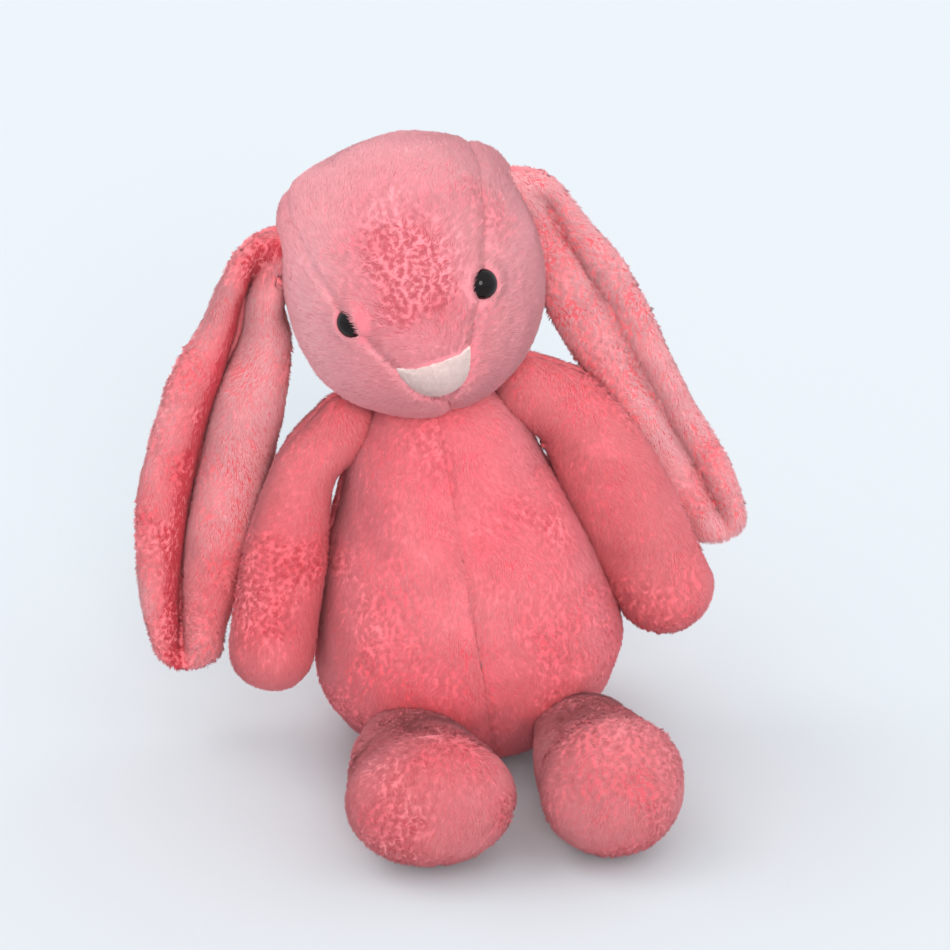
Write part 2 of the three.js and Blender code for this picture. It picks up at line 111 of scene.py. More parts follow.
LEGS = {
    "left": dict(
        spine=[(30, -46, 22), (31, -57, 22), (31.5, -76, 23.5), (33, -98, 26.6)],
        widths=[15, 17, 21, 26.5],
        depths=[13, 15, 19.5, 26.5],
        dome=21,
        facing=UP,
        below=[4, 5, 3, 0],
        above=[7, 9, 6, 0],
    ),
    "right": dict(
        spine=[(-30, -46, 22), (-31, -57, 22), (-31, -76, 23.5), (-32, -97, 25.6)],
        widths=[15, 17, 22, 30.5],
        depths=[13, 15, 19.5, 25.5],
        dome=21,
        facing=UP,
        below=[7, 9, 7, 0],
        above=[5, 7, 4, 0],
    ),
}
FLOOR_HEIGHT = 1.0  # the body's underside flattens out here
FLOOR_ROUNDING = 1.5
SOLE_START = 0.734  # where the sole begins, as a share of the leg from its root
SOLE_GAP = 0.003  # the panels stop this far short of the sole's seam on each side
# below and above widen a limb on one side, towards the body or away from it. folds are the two soft lobes
# that an ear's front is folded into: each one's middle and half width as shares of the ear's half width, and
# its height as a share of the ear's depth. fold_depth is how sharply the two are parted. The last entry is
# how many shades lighter the pile is painted at a share of the way across: painted light toward one edge of
# the left ear, and a painted shade in the groove between the right ear's two folds.
EARS = {
    "left": dict(
        spine=[(37, -6, 218), (49, -3, 212), (58, 1, 194), (70, 5, 165), (84, 8, 128),
               (95, 10, 104), (104, 11, 84), (108, 12, 66)],
        widths=[9, 10, 11, 15, 12.5, 11.5, 10.5, 9.5],
        depths=[9, 9, 9.5, 10, 10, 10, 10, 9],
        dome=10,
        facing=FORWARD,
        below=[1, 4, 8, 8, 10, 13, 15, 11],
        above=[0, 0, 0, -1, -1, -2, -2, -2],
        folds=[(-0.42, 0.58, 0.95), (0.56, 0.44, 0.8)],
        fold_depth=0.6,
        # painted light: the pile grows lighter toward the edge of the ear that catches more light
        tint=lambda share: 2.6 - 1.8 * share,
    ),
    "right": dict(
        spine=[(-41, -6, 209), (-50, -3, 207), (-60, 1, 192), (-67, 4, 176), (-79, 6, 151),
               (-93, 8, 119), (-101, 8, 99), (-106, 8, 77), (-107, 8, 57)],
        widths=[9, 10, 12, 15.5, 20.5, 21, 18.5, 16, 14],
        depths=[9, 9, 9.5, 10, 11.5, 12, 12, 11, 10],
        dome=13,
        facing=FORWARD,
        below=[0, 0, 0, 0, 0, 0, 0, 0, 0],
        above=[1, 2, 4, 8, 7, 9, 11, 9, 3],
        folds=[(0.42, 0.58, 1.15), (-0.58, 0.42, 0.72)],
        fold_depth=1,
        # painted shade: a deep band in the groove between the two folds, the rest a little lighter
        tint=lambda share: 0.7 - 4.0 * np.exp(-(((share - 0.67) / 0.12) ** 2)),
    ),
}
# As shares of an ear's length: where its folds begin, how long they take to form, and how long to fade.
FOLD_START = 0.05
FOLD_RISE = 0.13
FOLD_END = 0.09
FOLD_OVERLAP = 0.08  # of a half turn: how far one fold reaches behind the other
# The head swells where each ear is sewn in, and a little in the right cheek.
MOUNDS = [((-33, 11, 37.0), 5.0), ((39, 15, 30.0), 5.5), ((-40, -14, -22.0), 2.0)]
MOUND_SPREAD = math.radians(19)
# The middle of each curly patch on the head, and how far it spreads.
CURLY_SPOTS = [((0, -38, 30), 19), ((3, -44, 14), 12), ((35, -27, 23), 8), ((34, -21, 34), 8)]
GUSSET_RISE = np.radians([-38, -27, -15, 13, 45, 80, 120, 165, 205])
GUSSET_HALF = np.radians([0.2, 11, 15, 31, 42, 45, 38, 18, 0.2])

# ---- Fur ----
SKIN_SINK = 1.2  # the backing lies this far inside the CAD's fur surface; the pile fills the rest
SKIN_THICKNESS = 1.4
SKIN_STEP = 1.0  # spacing of the skin's vertices
SEAM_DEPTH = 1.5
BODY_SEAM = 0.8
LEG_SEAM = 0.8
HEAD_SEAM = 0.9
BODY_GAP = 0.001  # each panel stops this far short of its seam, as an angle
LIMB_GAP = 0.004
HEAD_GAP = 0.003
SEAM_REACH = 2.0  # how far from its edge a panel dips into its seam
PUFF_REACH = 8  # and how far the panel keeps curving down towards it
PUFF = 0.6  # the curving's share of the seam's depth
FULLNESS = 0.4  # how far the filling presses a whole panel out
LUMPS = [(0.8, 24, 0), (0.35, 10, 1)]  # of the filling: how high, how large, and the step in seed
LUMP_SEED = 51
CURL_RELIEF = 0.55
SEAT_LEAN = math.radians(80)
FULL_TURN = (0, 2 * math.pi)
SKIN_FLOOR = 0.4  # the backing stays this far above the surface that the rabbit sits on
FLOOR_GAP = 0.02  # and its inner side and the pile at least this far
SWIRLS = [(0.75, 26, 11), (0.45, 11, 12)]  # of the nap: how far each turns it, its size and its seed
TUFT_SIZE = 1.8  # spacing of the small curls that the pile gathers into
TUFT_SEED = 21
PILE_DENSITY = 4.0  # strands per square millimetre
PILE_LENGTH = 2.8
PILE_WIDTH = 0.4
PILE_LEAN = math.radians(73)  # how far the pile lies over from standing straight
PILE_ROOT = 0.4  # how deep in the backing a strand starts
CURL_TURN = 3.2  # across the curls, strands turn this many radians away from the nap
CURL_LIFT = 0.22
CURL_GATHER = 0.55  # how far a curl's tips are drawn to its middle
CURL_SHORTEN = 0.2
STRAY_TURN = 0.14
STRAY_LIFT = 0.05
# The shade of a strand, counted along its list: the middle one, and how far each cause moves it.
TONE_MIDDLE = 2.4
TONE_PATCHES = 1.3
TONE_PATCH_SIZE = 34
TONE_CURLS = 0.5
TONE_STRAY = 0.4
PAINTED_CURL_SHADE = 1.3  # curly places are painted this many shades deeper, a painted shade for the gaps between the curls
# on the head the painted shade between the curls is deeper still
HEAD_PAINTED_CURL_SHADE = 2.2
HEAD_CURLS = (1.1, 0.25, 0.08)  # how curly the patches are, the noise in it, and the least anywhere
CURLINESS = (0.25, 1.5, 0.5, 0.1)  # the middle, the large and the small noise in it, and the least

# The simulation that presses the stuffed bags out between their seams.
SWELL_PRESSURE = 2500
SWELL_MASS = 0.1  # a small bag needs a light fabric and a firm filling to swell as a large one does
SWELL_FRAMES = 20
SWELL_VOXEL = 5
SWELL_MOST = 5  # no point of the fabric moves further than this
SWELL_HELD = 0.7  # points nearer to a seam than this many voxels are held by it
SWELL_NEIGHBOURS = 6

# Each list runs from a deep shade, painted for the shade between the curls, to a light one, painted for the
# light on the tips.
SRGB = dict(
    body=[(236, 88, 100), (250, 120, 129), (252, 132, 140), (253, 142, 149), (254, 154, 161)],
    # painted shade: the arm and leg lists are darker copies of the body's, standing in for the lesser light
    # on the arms and on the forward-facing soles
    arm=[(226, 82, 92), (239, 112, 119), (241, 123, 129), (242, 132, 137), (243, 143, 148)],
    leg=[(215, 87, 97), (228, 118, 124), (230, 130, 135), (230, 140, 144), (231, 152, 155)],
    ear=[(226, 78, 88), (251, 128, 134), (253, 143, 148), (254, 160, 164), (255, 178, 181)],
    head=[(226, 110, 121), (240, 145, 153), (244, 157, 164), (246, 166, 172), (248, 177, 182)],
    nose=[(244, 212, 206), (247, 219, 213), (249, 225, 219), (250, 230, 225), (251, 235, 230)],
)

# ---- Studio (metres) ----
FLOOR_HALF = 20  # wide enough that its edge is never seen
FLOOR_RGB = (209, 212, 214)
SKY_RGB = (244, 250, 255)
SKY_STRENGTH = 1.19
# Each lamp's name, the direction it shines from, how wide it looks, and its strength.
SUNS = [
    ("key", (-0.6, 0.2, 1.0), math.radians(30), 0.4),
    ("front", (0.0, -1.0, 0.42), math.radians(26), 1.25),
]
CAMERA_AIM = (0.0019, 0.0385, 0.0906)
CAMERA_DISTANCE = 1.1
CAMERA_SIDE = math.radians(-7.5)
CAMERA_RISE = math.radians(23)
CAMERA_SENSOR = 36  # millimetres, as is the lens
CAMERA_LENS = 107.1


# ---- Small mathematics ----
def linear(rgb):
    """A colour given as three bytes, as the numbers a shader takes."""
    c = np.array(rgb) / 255
    return np.where(c <= 0.04045, c / 12.92, ((c + 0.055) / 1.055) ** 2.4)


def catmull(points, t):
    """Points on the centripetal Catmull-Rom curve through points, at t from 0 to 1."""
    p = np.asarray(points, float)
    p = np.vstack([2 * p[0] - p[1], p, 2 * p[-1] - p[-2]])
    spans = len(p) - 3
    x = np.clip(np.asarray(t, float), 0, 1) * spans
    i = np.minimum(x.astype(int), spans - 1)
    w = (x - i)[..., None]
    a, b, c, d = (p[i + k] for k in range(4))
    gap = lambda m, n: np.maximum(((m - n) ** 2).sum(-1, keepdims=True) ** 0.25, 1e-6)
    d0, d1, d2 = gap(a, b), gap(b, c), gap(c, d)
    t1 = ((b - a) / d0 - (c - a) / (d0 + d1) + (c - b) / d1) * d1
    t2 = ((c - b) / d1 - (d - b) / (d1 + d2) + (d - c) / d2) * d1
    return b + t1 * w + (-3 * b + 3 * c - 2 * t1 - t2) * w**2 + (2 * b - 2 * c + t1 + t2) * w**3


def smooth(values):
    """Values at even stations, blended at t from 0 to 1, as the CAD blends them."""
    stations = [(i, v, 0) for i, v in enumerate(values)]
    return lambda t: catmull(stations, t)[..., 1]


def unit(v):
    return v / np.maximum(np.linalg.norm(v, axis=-1, keepdims=True), 1e-9)


def turn(axis, angle):
    """The 3 x 3 matrix that turns by angle about axis 0, 1 or 2."""
    c, s = math.cos(angle), math.sin(angle)
    j, k = (axis + 1) % 3, (axis + 2) % 3
    m = np.eye(3)
    m[j, j] = m[k, k] = c
    m[k, j], m[j, k] = s, -s
    return m


def scatter(cells, seed):
    """A repeatable random number from 0 to 1 for each row of whole numbers, by splitmix64's mixing."""
    with np.errstate(over="ignore"):
        h = np.full(cells.shape[:-1], seed * 2654435761 % 2**32, np.uint64)
        for k in range(cells.shape[-1]):
            h ^= (cells[..., k].astype(np.int64) + 2**20).astype(np.uint64) * np.uint64(0x9E3779B97F4A7C15)
            h ^= h >> np.uint64(29)
            h *= np.uint64(0xBF58476D1CE4E5B9)
            h ^= h >> np.uint64(32)
    return (h & np.uint64(0xFFFFFF)).astype(float) / 0xFFFFFF


def noise(p, size, seed):
    """Smooth noise from -1 to 1 whose features are about size across."""
    x = np.asarray(p) / size
    base = np.floor(x)
    f = x - base
    f = f * f * (3 - 2 * f)
    total = 0
    for corner in np.ndindex(2, 2, 2):
        corner = np.array(corner)
        weight = np.where(corner, f, 1 - f).prod(-1)
        total = total + weight * scatter(base + corner, seed)
    return 2 * total - 1


def tufts(p, size, seed):
    """The nearest of many scattered points to each p: its place, and a random number of its own."""
    x = p / size
    base = np.floor(x)
    best = np.full(len(p), 1e9)
    centre = np.zeros_like(p)
    own = np.zeros(len(p))
    for step in np.ndindex(3, 3, 3):
        cell = base + np.array(step) - 1
        spot = cell + np.stack([scatter(cell, seed + k) for k in range(3)], -1)
        far = ((spot - x) ** 2).sum(-1)
        near = far < best
        best = np.where(near, far, best)
        centre[near] = spot[near] * size
        own[near] = scatter(cell, seed + 3)[near]
    return centre, own


# ---- Surfaces: each takes arrays u and v and gives points in its own frame ----
LEAN_MATRIX = turn(1, LEAN)
HEAD_MATRIX = turn(2, HEAD_TURN) @ turn(1, HEAD_TILT) @ turn(0, HEAD_NOD)


def from_lean(p):
    return p @ LEAN_MATRIX.T


def from_head(p):
    return from_lean(p @ HEAD_MATRIX.T + HEAD)


def body_surface(angle, v):
    """The pear-shaped body, v running from its seat at 0 to the neck at 1."""
    height, width, depth, back = (smooth([row[k] for row in BODY_OUTLINE])(v) for k in range(4))
    p = from_lean(np.stack([width * np.cos(angle), back + depth * np.sin(angle), height], -1))
    above_floor = (p[..., 2] - FLOOR_HEIGHT) / FLOOR_ROUNDING
    p[..., 2] = FLOOR_HEIGHT + np.logaddexp(0, above_floor) * FLOOR_ROUNDING
    return p


def folded_front(share, folds):
    """An ear's front in cross-section, share running from its right edge at 0 to its left edge at 1."""
    right, left = sorted(folds, reverse=True)
    split = right[1] / (right[1] + left[1])
    on_right = share < split
    turn_right = np.pi * (1 + FOLD_OVERLAP) * share / split
    turn_left = np.pi * ((1 + FOLD_OVERLAP) * (share - split) / (1 - split) - FOLD_OVERLAP)
    angle = np.where(on_right, turn_right, turn_left)
    middle, half, height = (np.where(on_right, right[k], left[k]) for k in range(3))
    return middle + half * np.cos(angle), height * np.sin(angle)


def limb(spec, place=lambda p: p):
    """A round limb's surface: u is the angle about its middle line, and v runs along it from 0 to 1."""
    fine = np.linspace(0, 1, 400)
    line = catmull(spec["spine"], fine)
    steps = np.linalg.norm(np.diff(line, axis=0), axis=1)
    run = np.concatenate([[0], np.cumsum(steps)])
    length, root, dome = run[-1], spec["widths"][0], spec["dome"]
    total = root + length + dome
    tangents = unit(np.gradient(line, axis=0))
    width, depth, below, above = (smooth(spec[key]) for key in ("widths", "depths", "below", "above"))

    def surface(angle, v):
        s = v * total - root
        t = np.interp(np.clip(s, 0, length), run, fine)
        tangent = unit(np.stack([np.interp(t, fine, tangents[:, k]) for k in range(3)], -1))
        past = np.where(s < 0, s, np.maximum(s - length, 0))
        round_off = np.sqrt(np.maximum(1 - (past / np.where(s < 0, root, dome)) ** 2, 0))
        across = unit(np.cross(spec["facing"], tangent))
        front = np.cross(tangent, across)
        middle = catmull(spec["spine"], t) + tangent * past[..., None]
        x, y = np.cos(angle), np.sin(angle)
        if "folds" in spec:
            fold_x, fold_y = folded_front(angle / np.pi, spec["folds"])
            begun = np.clip((v - FOLD_START) / FOLD_RISE, 0, 1)
            folded = begun * np.clip((1 - v) / FOLD_END, 0, 1) * (angle <= np.pi)
            folded = folded * folded * (3 - 2 * folded) * spec["fold_depth"]
            x, y = x + (fold_x - x) * folded, y + (fold_y - y) * folded
        wide = width(t) + (below(t) + above(t)) / 2
        sideways = ((above(t) - below(t)) / 2 + wide * x) * round_off
        return place(middle + across * sideways[..., None] + front * (depth(t) * round_off * y)[..., None])

    return surface


def head_point(rise, side):
    """The head's surface in its own frame: rise goes from the face over the top, side goes to the left."""
    direction = np.stack([np.sin(side), -np.cos(side) * np.cos(rise), np.cos(side) * np.sin(rise)], -1)
    radius = 1 / np.linalg.norm(direction / HEAD_RADII, axis=-1)
    middle = (NOSE_TOP + NOSE_BOTTOM) / 2
    nose = np.array([0, -math.cos(middle), math.sin(middle)])
    away = np.arccos(np.clip(direction @ nose, -1, 1))
    muzzle = MUZZLE * np.exp(-((away / MUZZLE_SPREAD) ** 2))
    mounds = 0
    for spot, height in MOUNDS:
        off = np.arccos(np.clip(direction @ unit(np.array(spot)), -1, 1))
        mounds = mounds + height * np.exp(-((off / MOUND_SPREAD) ** 2))
    return direction * (radius + muzzle + mounds)[..., None]


def head_surface(rise, side):
    return from_head(head_point(rise, side))


def gusset_half(rise):
    """Half the width of the head's middle strip, as a side angle."""
    return np.interp(rise, GUSSET_RISE, GUSSET_HALF)


def ball_surface(centre, radius, pole):
    """A ball whose poles lie along the third axis of the matrix pole; v is the angle from its middle."""
    def surface(angle, v):
        p = np.stack([np.cos(angle) * np.cos(v), np.sin(angle) * np.cos(v), np.sin(v)], -1)
        return from_lean((p * radius) @ pole.T + centre)

    return surface


# ---- Meshes ----
class Sheet:
    """A patch of a surface as a triangle mesh, with its normals, nap and distance from its own edge."""

    def __init__(self, surface, us, vs, counts, middle, nap):
        u, v = np.meshgrid(np.linspace(*us, counts[0] + 1), np.linspace(*vs, counts[1] + 1), indexing="ij")
        points = surface(u, v).reshape(-1, 3)
        i, j = np.meshgrid(np.arange(counts[0]), np.arange(counts[1]), indexing="ij")
        a = (i * (counts[1] + 1) + j).ravel()
        b = a + counts[1] + 1
        faces = np.concatenate([np.stack([a, b, b + 1], 1), np.stack([a, b + 1, a + 1], 1)])
        _, first, inverse = np.unique(np.round(points, 3), axis=0, return_index=True, return_inverse=True)
        self.points = points[first]
        across = np.repeat(np.linspace(0, 1, counts[0] + 1), counts[1] + 1)
        self.across = across[first]
        faces = inverse.reshape(-1)[faces]
        distinct = (faces[:, 0] != faces[:, 1]) & (faces[:, 1] != faces[:, 2]) & (faces[:, 0] != faces[:, 2])
        self.faces = faces[distinct]
        self.update_normals()
        outward = (self.normals * (self.points - middle(self.points))).sum()
        if outward < 0:
            self.faces = self.faces[:, ::-1]
            self.update_normals()
        edges = np.concatenate([self.faces[:, [0, 1]], self.faces[:, [1, 2]], self.faces[:, [2, 0]]])
        key = np.sort(edges, 1)
        _, back, count = np.unique(key, axis=0, return_inverse=True, return_counts=True)
        self.rim = edges[count[back.reshape(-1)] == 1]
        self.edge = np.full(len(self.points), FAR_FROM_EDGE)
        if len(self.rim):
            self.edge = self.distance_from(self.points[np.unique(self.rim)])
        self.set_nap(nap)

    def update_normals(self):
        a, b, c = (self.points[self.faces[:, k]] for k in range(3))
        facing = np.cross(b - a, c - a)
        total = np.zeros_like(self.points)
        for k in range(3):
            np.add.at(total, self.faces[:, k], facing)
        self.normals = unit(total)

    def distance_from(self, places):
        found = [np.linalg.norm(chunk[:, None] - places[None], axis=2).min(1)
                 for chunk in np.array_split(self.points, max(len(self.points) // 2000, 1))]
        return np.concatenate(found)

    def set_nap(self, nap):
        """The nap is the way the pile lies: nap(points) laid flat on the surface, with gentle swirls."""
        way = nap(self.points)
        way = unit(way - self.normals * (way * self.normals).sum(-1, keepdims=True))
        swirl = sum(strength * noise(self.points, size, seed) for strength, size, seed in SWIRLS)
        side = np.cross(self.normals, way)
        self.nap = way * np.cos(swirl)[:, None] + side * np.sin(swirl)[:, None]

    def push(self, amount):
        self.points = self.points + self.normals * np.asarray(amount)[..., None]
        self.points[:, 2] = np.maximum(self.points[:, 2], SKIN_FLOOR)
        self.update_normals()


def make_object(name, points, faces, materials, shades=None, normals=None):
    """A mesh of points in millimetres; shades picks each face's material."""
    mesh = bpy.data.meshes.new(name)
    mesh.vertices.add(len(points))
    mesh.vertices.foreach_set("co", (points * MM).astype(np.float32).ravel())
    mesh.loops.add(faces.size)
    mesh.loops.foreach_set("vertex_index", faces.astype(np.int32).ravel())
    mesh.polygons.add(len(faces))
    mesh.polygons.foreach_set("loop_start", np.arange(0, faces.size, faces.shape[1], dtype=np.int32))
    for material in materials:
        mesh.materials.append(material)
    if shades is not None:
        mesh.polygons.foreach_set("material_index", shades.astype(np.int32))
    mesh.update(calc_edges=True)
    mesh.shade_smooth()
    if normals is not None:
        stored = mesh.attributes.new("custom_normal", "FLOAT_VECTOR", "POINT")
        stored.data.foreach_set("vector", normals.astype(np.float32).ravel())
    made = bpy.data.objects.new(name, mesh)
    bpy.context.scene.collection.objects.link(made)
    return made


def vertex_values(mesh, what):
    """Each vertex's place ("co") or normal ("normal")."""
    flat = np.empty(len(mesh.vertices) * 3, np.float32)
    mesh.vertices.foreach_get(what, flat)
    return flat.reshape(-1, 3)


def skin(sheet, name, thickness, materials):
    """The sheet as a closed piece of fabric of that thickness."""
    inner = sheet.points - sheet.normals * thickness
    inner[:, 2] = np.maximum(inner[:, 2], FLOOR_GAP)
    n = len(sheet.points)
    faces = [sheet.faces, sheet.faces[:, ::-1] + n]
    a, b = sheet.rim[:, 0], sheet.rim[:, 1]
    faces.append(np.stack([b, a, a + n], 1))
    faces.append(np.stack([b, a + n, b + n], 1))
    return make_object(name, np.concatenate([sheet.points, inner]), np.concatenate(faces), materials)


def again(own, factor):
    """One more random number from 0 to 1, made from a curl's own."""
    return own * factor % 1


def curliness(p):
    """How curly the pile is: 1 in the curliest places, and near 0 in calm ones."""
    middle, large, small, least = CURLINESS
    return np.clip(middle + large * noise(p, 22, 31) + small * noise(p, 9, 32), least, 1)


def pick_roots(sheet, density, rng):
    """Random places on the sheet: each one's three corners, and how much each corner counts."""
    a, b, c = (sheet.points[sheet.faces[:, k]] for k in range(3))
    area = np.linalg.norm(np.cross(b - a, c - a), axis=1) / 2
    count = int(area.sum() * density)
    face = rng.choice(len(area), count, p=area / area.sum())
    r, s = rng.random((2, count))
    fold = r + s > 1
    r, s = np.where(fold, 1 - r, r), np.where(fold, 1 - s, s)
    return sheet.faces[face], np.stack([1 - r - s, r, s], 1)[..., None]


def pile(sheet, name, materials, rng, density=PILE_DENSITY, length=PILE_LENGTH, width=PILE_WIDTH,
         lean=PILE_LEAN, curly=curliness, deepen=PAINTED_CURL_SHADE, bare=None, tint=None, flat_on_floor=False):
    """Fine tapered strands that stand on the sheet, lie along its nap and gather into curls.

    Each strand is a closed tetrahedron. It carries the normal of the skin below it, so that the pile takes
    the light as soft plush does.
    """
    thin_out = 1
    corners, weights = pick_roots(sheet, density * thin_out, rng)
    spread = (sheet.points, sheet.normals, sheet.nap, sheet.across[:, None])
    root, normal, nap, share = ((values[corners] * weights).sum(1) for values in spread)
    if bare is not None:
        kept = ~bare(root)
        root, normal, nap, share = root[kept], normal[kept], nap[kept], share[kept]
    count = len(root)

    normal, nap = unit(normal), unit(nap)
    centre, own = tufts(root, TUFT_SIZE, TUFT_SEED)
    side = np.cross(normal, nap)
    rough = curly(root)
    spin = (own - 0.5) * CURL_TURN * rough + rng.normal(0, STRAY_TURN, count)
    way = nap * np.cos(spin)[:, None] + side * np.sin(spin)[:, None]
    tilt = lean + rng.normal(0, STRAY_LIFT, count) - CURL_LIFT * rough * again(own, 7)
    stem = normal * np.cos(tilt)[:, None] + way * np.sin(tilt)[:, None]
    gather = (centre - root) - normal * ((centre - root) * normal).sum(1, keepdims=True)
    evenness = (0.85 + 0.3 * again(own, 13)) * rng.uniform(0.85, 1.1, count)
    reach = length * (1 - CURL_SHORTEN * rough) * evenness
    tip = root + stem * reach[:, None] + gather * (CURL_GATHER * rough)[:, None]

    across = unit(np.cross(stem, normal))
    thick = np.cross(across, stem)
    half = width / 2 * rng.uniform(0.8, 1.2, count)[:, None] / thin_out**0.5
    base = root - normal * PILE_ROOT
    left, right = base + across * half, base - across * half * 0.6
    points = np.stack([left, right + thick * half, right - thick * half, tip], 1).reshape(-1, 3)
    if flat_on_floor:
        points[:, 2] = np.maximum(points[:, 2], FLOOR_GAP)
    start = (np.arange(count) * 4)[:, None]
    faces = np.concatenate([start + np.array(f) for f in ([0, 3, 1], [1, 3, 2], [2, 3, 0], [0, 1, 2])])

    tone = TONE_MIDDLE + TONE_PATCHES * noise(root, TONE_PATCH_SIZE, 41)
    tone = tone + TONE_CURLS * (again(own, 17) - 0.5) * rough + rng.normal(0, TONE_STRAY, count)
    # painted shade: strands in curly places take deeper shades, standing in for the shade between the curls
    tone = tone - deepen * (rough - 0.2)
    # painted light and shade across an ear, by the share of the way across
    if tint is not None:
        tone = tone + tint(share[:, 0])
    shade = np.clip(np.round(tone), 0, len(materials) - 1)
    soft = unit(normal + 0.3 * stem + 0.08 * rng.normal(0, 1, (count, 3)))
    normals = np.repeat(soft, 4, axis=0)
    return make_object(name, points, faces, materials, np.tile(shade, 4), normals)


# ---- The filling's pressure, by cloth simulation ----
class Filling:
    """How far a stuffed bag's fabric moves when its filling presses on it while the seams hold."""

    def __init__(self, surface, seam_angles):
        self.tree = None
        shell = self.bag(surface)
        seam_v = np.linspace(0, 1, 120)
        seams = np.concatenate([surface(np.full_like(seam_v, angle), seam_v) for angle in seam_angles])
        rest, outward, moved = self.press(shell, seams)
        step = moved - rest
        size = np.linalg.norm(step, axis=1, keepdims=True)
        self.step = step * np.minimum(1, SWELL_MOST / np.maximum(size, 1e-9))
        self.rise = (self.step * outward).sum(1).mean()
        self.tree = KDTree(len(rest))
        for k, place in enumerate(rest):
            self.tree.insert(place, k)
        self.tree.balance()

    def bag(self, surface):
        """The whole bag as one closed mesh with faces about as large as the simulation's."""
        rounds, rows = 48, 40
        u, v = np.meshgrid(np.arange(rounds) * 2 * math.pi / rounds, np.linspace(0, 1, rows), indexing="ij")
        points = surface(u, v).reshape(-1, 3)
        ends = [points[k::rows].mean(0) for k in (0, rows - 1)]
        faces = []
        for i in range(rounds):
            here, there = i * rows, (i + 1) % rounds * rows
            for k in range(rows - 1):
                faces += [(here + k, there + k, there + k + 1), (here + k, there + k + 1, here + k + 1)]
            faces += [(there, here, len(points)), (here + rows - 1, there + rows - 1, len(points) + 1)]
        shell = make_object("bag", np.concatenate([points, ends]), np.array(faces), [])
        tidy(shell)
        return shell

    def press(self, shell, seams):
        """Swells the bag with its seams held: its points and normals before, and its points after."""
        remesh = shell.modifiers.new("remesh", "REMESH")
        remesh.mode = "VOXEL"
        remesh.voxel_size = SWELL_VOXEL * MM
        graph = bpy.context.evaluated_depsgraph_get()
        fabric = bpy.data.objects.new("fabric", bpy.data.meshes.new_from_object(shell.evaluated_get(graph)))
        bpy.context.scene.collection.objects.link(fabric)
        rest = vertex_values(fabric.data, "co") / MM
        outward = vertex_values(fabric.data, "normal")
        near = np.array([np.linalg.norm(seams - place, axis=1).min() for place in rest])
        held = fabric.vertex_groups.new(name="seams")
        held.add(np.flatnonzero(near < SWELL_VOXEL * SWELL_HELD).tolist(), 1.0, "REPLACE")
        cloth = fabric.modifiers.new("cloth", "CLOTH")
        cloth.settings.use_pressure = True
        cloth.settings.uniform_pressure_force = SWELL_PRESSURE
        cloth.settings.effector_weights.gravity = 0
        cloth.settings.vertex_group_mass = "seams"
        cloth.settings.mass = SWELL_MASS
        for moment in range(1, SWELL_FRAMES + 1):
            bpy.context.scene.frame_set(moment)
        graph = bpy.context.evaluated_depsgraph_get()
        swollen = bpy.data.meshes.new_from_object(fabric.evaluated_get(graph))
        moved = vertex_values(swollen, "co") / MM
        for scrap in (fabric, shell):
            bpy.data.objects.remove(scrap)
        bpy.context.scene.frame_set(1)
        return rest, outward, moved

    def swell(self, sheet):
        """How far each of the sheet's points moves, less the bag's mean, so that the bag keeps its size."""
        if self.tree is None:
            return np.zeros_like(sheet.points)
        step = np.zeros_like(sheet.points)
        for k, place in enumerate(sheet.points):
            found = self.tree.find_n(place, SWELL_NEIGHBOURS)
            weight = np.array([1 / (distance + 1) ** 2 for _, _, distance in found])
            step[k] = (self.step[[index for _, index, _ in found]] * weight[:, None]).sum(0) / weight.sum()
        return step - sheet.normals * self.rise


# ---- Materials ----
def colour(rgb):
    return (*linear(rgb), 1)


def principled(name, settings):
    """A material of the standard shader, with each of its sockets in settings set to a value."""
    material = bpy.data.materials.new(name)
    material.use_nodes = True
    for socket, value in settings.items():
        material.node_tree.nodes["Principled BSDF"].inputs[socket].default_value = value
    return material


def texture(material, kind, settings):
    """A texture's node, laid out by the piece's own coordinates."""
    nodes, links = material.node_tree.nodes, material.node_tree.links
    pattern = nodes.new(kind)
    for socket, value in settings.items():
        pattern.inputs[socket].default_value = value
    links.new(nodes.new("ShaderNodeTexCoord").outputs["Object"], pattern.inputs["Vector"])
    return pattern


def colour_by(material, pattern, dark, light, start=0.0, end=1.0):
    """Colours the material from dark, where the pattern is at start, to light, where it is at end."""
    nodes, links = material.node_tree.nodes, material.node_tree.links
    ramp = nodes.new("ShaderNodeValToRGB")
    for stop, position, rgb in zip(ramp.color_ramp.elements, (start, end), (dark, light)):
        stop.position = position
        stop.color = colour(rgb)
    links.new(pattern.outputs[0], ramp.inputs["Fac"])
    links.new(ramp.outputs["Color"], nodes["Principled BSDF"].inputs["Base Color"])


def raise_by(material, pattern, strength, height):
    """Raises the material's surface by the pattern, up to height millimetres."""
    nodes, links = material.node_tree.nodes, material.node_tree.links
    bump = nodes.new("ShaderNodeBump")
    bump.inputs["Strength"].default_value = strength
    bump.inputs["Distance"].default_value = height * MM
    links.new(pattern.outputs[0], bump.inputs["Height"])
    links.new(bump.outputs["Normal"], nodes["Principled BSDF"].inputs["Normal"])


def pile_material(name, rgb):
    """One shade of the pile: soft, with hardly any gloss and a faint pink sheen."""
    sheen = {"Sheen Weight": 0.15, "Sheen Roughness": 0.5, "Sheen Tint": colour((255, 190, 195))}
    matt = {"Roughness": 0.9, "Specular IOR Level": 0.04}
    return principled(name, {"Base Color": colour(rgb), **matt, **sheen})


def skin_material(name, shades):
    """The undercoat and backing: mottled, with a fine fibrous grain."""
    material = principled(name, {"Roughness": 0.95, "Sheen Weight": 0.2})
    patches = texture(material, "ShaderNodeTexNoise", {"Scale": 55, "Detail": 6})
    fibres = texture(material, "ShaderNodeTexNoise", {"Scale": 900, "Detail": 3})
    colour_by(material, patches, shades[0], shades[2], start=0.3, end=0.7)
    raise_by(material, fibres, strength=0.5, height=0.6)
    return material


